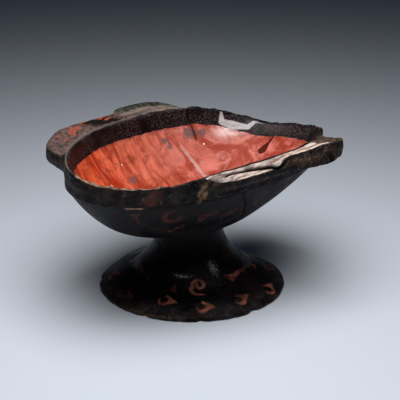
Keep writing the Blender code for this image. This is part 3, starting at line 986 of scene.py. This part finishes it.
def red_lacquer(g, streak, cloud, worn, grit):
    """The inside: streaks across the cup's length, vivid at one end, scuffed pink at the other."""
    across = g.add("ShaderNodeSeparateXYZ", {0: g.place}).outputs[0]
    along = g.maths("ADD", across, g.times(g.noise(26.0, 3.0), 0.05))
    right = g.ramp(along, 0.015, 0.060)
    bright = g.ramp(streak, 0.375, 0.625)
    red = g.mix(g.ramp(along, -0.020, 0.032), g.mix(bright, *VIVID_RED), g.mix(bright, *PALER_RED))
    thin = g.noise(110.0, 5.0, g.scaled((3.2, 0.5, 0.5)), 0.8)
    red = g.coat(red, THIN_RED, g.ramp(thin, 0.48, 0.72), 0.5)
    red = g.coat(red, STAIN_RED, g.ramp(worn, 0.51, 0.64), 0.6)
    red = g.coat(red, CLOUD_RED, g.ramp(cloud, 0.53, 0.68), 0.5)
    scuffed = g.mix(g.ramp(g.noise(34.0, 6.0, None, 2.4), 0.40, 0.62), *SCUFFED_RED)
    red = g.coat(red, scuffed, right, 0.85)
    wavy = g.noise(24.0, 3.0, g.scaled((0.7, 1.4, 1.0)), 2.0)
    hair = g.ramp(g.maths("ABSOLUTE", g.maths("SUBTRACT", wavy, 0.5)), 0.022, 0.0)
    red = g.coat(red, HAIR_PINK, right, hair, 0.3)
    red = g.coat(red, BROWN_RED, right, g.ramp(g.noise(64.0, 5.0, None, 1.5), 0.56, 0.72))
    red = g.coat(red, SCUFF_PINK, g.fact("pink"), g.ramp(worn, 0.26, 0.56))
    red = g.coat(red, SMUDGE_GREY, g.speckled("smudge", 1.9, 260.0, 0.35, 0.8), 0.85)
    red = g.coat(red, SCRATCH_PINK, g.speckled("scratch", 3.4, 200.0, -0.9, 1.3), 0.7)
    red = g.coat(red, DRIP_BROWN, g.speckled("drip", 0.8, 200.0, -0.15, 0.2))
    # White specks, one of them a painted highlight on a glossy bead.
    red = g.coat(red, SPECK_AND_GLINT_WHITE, g.ramp(g.fact("speck_and_glint"), 0.4, 0.6))
    return g.coat(red, RIND_BROWN, g.ramp(g.fact("inside"), 3.2, 0.0), g.ramp(grit, 0.45, 0.62), 0.6)


def painted_ear(g, worn):
    """The whole ear's top: curls of brown, grey-green and black, with red strokes."""
    old = g.mix(g.ramp(g.noise(95.0, 5.0, None, 4.5), 0.38, 0.56), *EAR_BROWN)
    old = g.coat(old, EAR_GREEN, g.ramp(g.noise(PATCHY, 4.0, None, 4.0), 0.55, 0.66))
    old = g.coat(old, EAR_BLACK, g.ramp(g.noise(210.0, 4.0, None, 4.5), 0.55, 0.62), 0.85)
    old = g.coat(old, EAR_MIDDLE, g.fact("ear_middle"), g.ramp(worn, 0.20, 0.36))
    return g.coat(old, EAR_STROKE, g.speckled("ear_paint", 1.3, STROKE_EDGE, -0.2, 0.3), 0.9)


def worn_lobe(g, grain, worn, grit):
    """Greyed bare wood with a blackened rim, on one lobe of the whole ear."""
    dull = g.mix(g.ramp(g.noise(120.0, 5.0, None, 1.5), 0.36, 0.62), *DULL_WOOD)
    dull = g.coat(dull, DULL_GRAIN, g.ramp(grain, 0.50, 0.62), 0.4)
    rim = g.ramp(g.frayed(g.fact("lobe_edge"), 1.6, worn), 0.25, 0.7)
    return g.coat(dull, g.mix(g.ramp(grit, 0.4, 0.6), *LOBE_RIM), rim)


def bowl_material():
    """Black lacquer outside, red lacquer inside, bare wood at the break and on the worn lobe."""
    g = Graph("bowl_lacquer_paint")
    cloud = g.noise(CLOUD, 5.0)
    worn = g.noise(PATCHY, 5.0)
    grit = g.noise(GRIT, 4.0)
    streak = g.noise(30.0, 6.0, g.scaled((3.0, 0.7, 0.7)), 1.2, 0.6)
    # Bare wood's grain runs along the cup's length.
    grain = g.noise(420.0, 5.0, g.scaled((0.10, 1.0, 1.0)), 0.5)
    torn = g.noise(260.0, 4.0, g.scaled((0.13, 1.0, 1.0)))
    inside = g.speckled("inside", 2.6, 200.0, -0.2, 0.2)
    colour = g.mix(inside, black_lacquer(g, cloud, worn, grit), red_lacquer(g, streak, cloud, worn, grit))
    # Painted highlight: the whitish film colour also stands in for the gloss on the far inside wall.
    film_and_highlight = g.speckled("film_and_highlight", 1.2, 170.0, -0.4, 0.5)
    colour = g.coat(colour, FILM_HIGHLIGHT_GREY, film_and_highlight, 0.85)
    colour = g.coat(colour, painted_ear(g, worn), g.fact("ear_top"))
    colour = g.coat(colour, g.mix(g.ramp(grit, 0.40, 0.60), *STUB_MOTTLE), g.fact("stub_top"), 0.8)
    pale = g.ramp(g.frayed(g.fact("pale"), 1.0, torn), 0.42, 0.56)
    wood = g.mix(g.ramp(grain, 0.36, 0.58), *WOOD)
    colour = g.coat(colour, g.coat(wood, WOOD_STAIN, g.ramp(worn, 0.5, 0.66), 0.6), pale)
    colour = g.coat(colour, worn_lobe(g, grain, worn, grit), g.speckled("bare_lobe", 0.9, 120.0, 0.40, 0.62))
    pits = g.ramp(g.noise(700.0, 5.0, None, 0.6), 0.50, 0.64)
    colour = g.coat(colour, g.mix(g.ramp(worn, 0.42, 0.6), *EAR_SIDE), g.fact("side"), pits, 0.7)
    colour = g.coat(colour, LIP_EDGE, g.fact("lip_line"), 0.4)
    tan = g.mix(g.ramp(grit, 0.36, 0.62), *LIP_TAN)
    colour = g.coat(colour, tan, g.speckled("lip_wear", 1.9, 300.0, 0.45, 0.70))
    colour = g.coat(colour, GAP_TAN, g.speckled("gap", 1.8, 300.0, 0.55, 0.75))
    colour = g.coat(colour, CRACK_BLACK, g.fact("dark"), 0.97)
    # Dry wood and worn paint are rough, the film is glossy; its whitish colour is partly a painted highlight.
    outer = g.blend(g.ramp(cloud, 0.35, 0.7), 0.36, 0.60)
    roughness = g.blend(inside, outer, g.blend(g.ramp(streak, 0.3, 0.7), 0.30, 0.5))
    dry = g.maths("MAXIMUM", g.maths("MAXIMUM", pale, g.fact("ear_top")), g.fact("lip_wear"))
    roughness = g.blend(film_and_highlight, g.blend(dry, roughness, 0.75), 0.18)
    height = g.maths("ADD", g.times(g.noise(FINE, 3.0), 0.5), g.noise(260.0, 4.0))
    height = g.maths("ADD", height, g.times(grain, g.maths("ADD", pale, g.fact("bare_lobe"))))
    height = g.maths("ADD", height, g.times(g.times(grit, g.fact("band")), 1.6))
    return g.finish(colour, roughness, BOWL_GLOSS, height)


def foot_material():
    """Black lacquer with worn red strokes, a brown edge and painted light: two white glints, partly dust
    specks, and a lighter outer skirt.
    """
    g = Graph("foot_lacquer_paint")
    cloud = g.noise(CLOUD, 5.0)
    grit = g.noise(GRIT, 4.0)
    colour = g.mix(g.ramp(cloud, 0.42, 0.66), *FOOT_LACQUER)
    # Painted light: the outer skirt, which the light reaches past the bowl, is coloured lighter with a grey
    # mottle.
    lit_mottle = g.mix(g.ramp(grit, 0.40, 0.62), *LIT_FOOT_MOTTLE)
    colour = g.coat(colour, lit_mottle, g.fact("outer"), g.ramp(g.noise(90.0, 5.0), 0.38, 0.6))
    tone = g.mix(g.ramp(g.noise(110.0, 3.0), 0.40, 0.62), *FOOT_STROKE)
    painted = g.times(g.speckled("paint", 1.3, STROKE_EDGE, -0.15, 0.25), g.fact("fade"))
    colour = g.coat(colour, tone, painted, g.ramp(g.noise(PATCHY, 4.0), 0.30, 0.50), 0.9)
    colour = g.coat(colour, STEM_RED, g.speckled("blush", 1.2, 110.0, 0.4, 0.8), 0.55)
    colour = g.coat(colour, EDGE_BROWN, g.speckled("edge_wear", 1.4, 240.0, 0.45, 0.7))
    # Painted highlight: white glints, partly dust specks.
    colour = g.coat(colour, GLINT_WHITE, g.fact("glint"), g.ramp(g.noise(1700.0, 2.0), 0.54, 0.62), 0.9)
    roughness = g.blend(g.ramp(cloud, 0.35, 0.7), 0.30, 0.55)
    height = g.maths("ADD", g.times(g.noise(FINE, 3.0), 0.6), g.maths("ADD", g.noise(240.0, 4.0), grit))
    return g.finish(colour, roughness, FOOT_GLOSS, height)


# Studio, in metres and watts.
FLOOR_REACH = 6.0
FLOOR_PAPER = (0.65, 0.71, 0.81, 1.0)
FLOOR_ROUGHNESS = 0.85
LIGHT_HEIGHT = 0.54
LIGHT_NEARER = 0.14
LIGHT_AIM = 0.13
LIGHT_SIZE = 0.5
LIGHT_POWER = 2.0
LIGHT_SPREAD = 122.0
LIGHT_COLOUR = (1.0, 0.98, 0.95)
FILL_COLOUR = (0.45, 0.56, 0.80, 1.0)
FILL_STRENGTH = 0.03


def make_floor():
    """A large plain pale floor."""
    reach = FLOOR_REACH
    mesh = bpy.data.meshes.new("studio_floor")
    corners = [(-reach, -reach, 0.0), (reach, -reach, 0.0), (reach, reach, 0.0), (-reach, reach, 0.0)]
    mesh.from_pydata(corners, [], [(0, 1, 2, 3)])
    g = Graph("floor_paper")
    g.shader.inputs["Base Color"].default_value = FLOOR_PAPER
    g.shader.inputs["Roughness"].default_value = FLOOR_ROUGHNESS
    mesh.materials.append(g.material)
    floor = in_scene("studio_floor", mesh)


# Camera: bearing of the view from +Y towards +X, elevation and roll in degrees, distances in metres,
# lens in millimetres on a 36 mm sensor.
VIEW_TURN = 48.388
VIEW_RISE = 21.535
VIEW_ROLL = -0.117
VIEW_DISTANCE = 0.77717
AIM_RIGHT = 0.004915
AIM_HEIGHT = 0.05229
LENS = 118.67


def view_axes():
    """Level forward, right, tilted forward and up directions of the camera."""
    turned = np.radians(VIEW_TURN)
    rise = np.radians(VIEW_RISE)
    level = np.array([np.sin(turned), np.cos(turned), 0.0])
    right = np.array([np.cos(turned), -np.sin(turned), 0.0])
    forward = np.cos(rise) * level - np.array([0.0, 0.0, np.sin(rise)])
    return level, right, forward, np.cross(right, forward)


def placed(right, up, back, centre):
    """A world matrix with the given axes and place."""
    rows = [[right[i], up[i], back[i], centre[i]] for i in range(3)]
    return Matrix(rows + [[0.0, 0.0, 0.0, 1.0]])


def make_camera():
    """Long lens at the photographed angle."""
    _, right, forward, up = view_axes()
    roll = np.radians(VIEW_ROLL)
    turned_right = np.cos(roll) * right + np.sin(roll) * up
    turned_up = -np.sin(roll) * right + np.cos(roll) * up
    aim = AIM_RIGHT * right + np.array([0.0, 0.0, AIM_HEIGHT])
    data = bpy.data.cameras.new("view")
    data.sensor_width = 36.0
    data.lens = LENS
    data.clip_end = 30.0
    camera = in_scene("view", data)
    camera.matrix_world = placed(turned_right, turned_up, -forward, aim - VIEW_DISTANCE * forward)
    bpy.context.scene.camera = camera


def make_lights():
    """One large soft light overhead, leaning towards the camera, and a weak cool fill."""
    level = view_axes()[0]
    place = np.array([0.0, 0.0, LIGHT_HEIGHT]) - LIGHT_NEARER * level
    back = place + LIGHT_AIM * level
    back /= np.linalg.norm(back)
    side = np.cross([0.0, 1.0, 0.3], back)
    side /= np.linalg.norm(side)
    data = bpy.data.lights.new("overhead", "AREA")
    data.shape = "SQUARE"
    data.size = LIGHT_SIZE
    data.energy = LIGHT_POWER
    data.color = LIGHT_COLOUR
    data.spread = np.radians(LIGHT_SPREAD)
    in_scene("overhead", data).matrix_world = placed(side, np.cross(back, side), back, place)
    world = bpy.data.worlds.new("studio")
    world.use_nodes = True
    background = world.node_tree.nodes["Background"]
    background.inputs["Color"].default_value = FILL_COLOUR
    background.inputs["Strength"].default_value = FILL_STRENGTH
    bpy.context.scene.world = world


def main():
    """Build the cup, its studio and the view."""
    bowl = make_bowl_piece()
    bowl.data.materials.append(bowl_material())
    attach(bowl, "root")
    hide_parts("cup_bowl")
    foot = make_foot_piece()
    foot.data.materials.append(foot_material())
    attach(foot, "root")
    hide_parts("stem_foot")
    make_floor()
    make_camera()
    make_lights()
    bpy.context.scene.view_settings.view_transform = "Standard"


main()
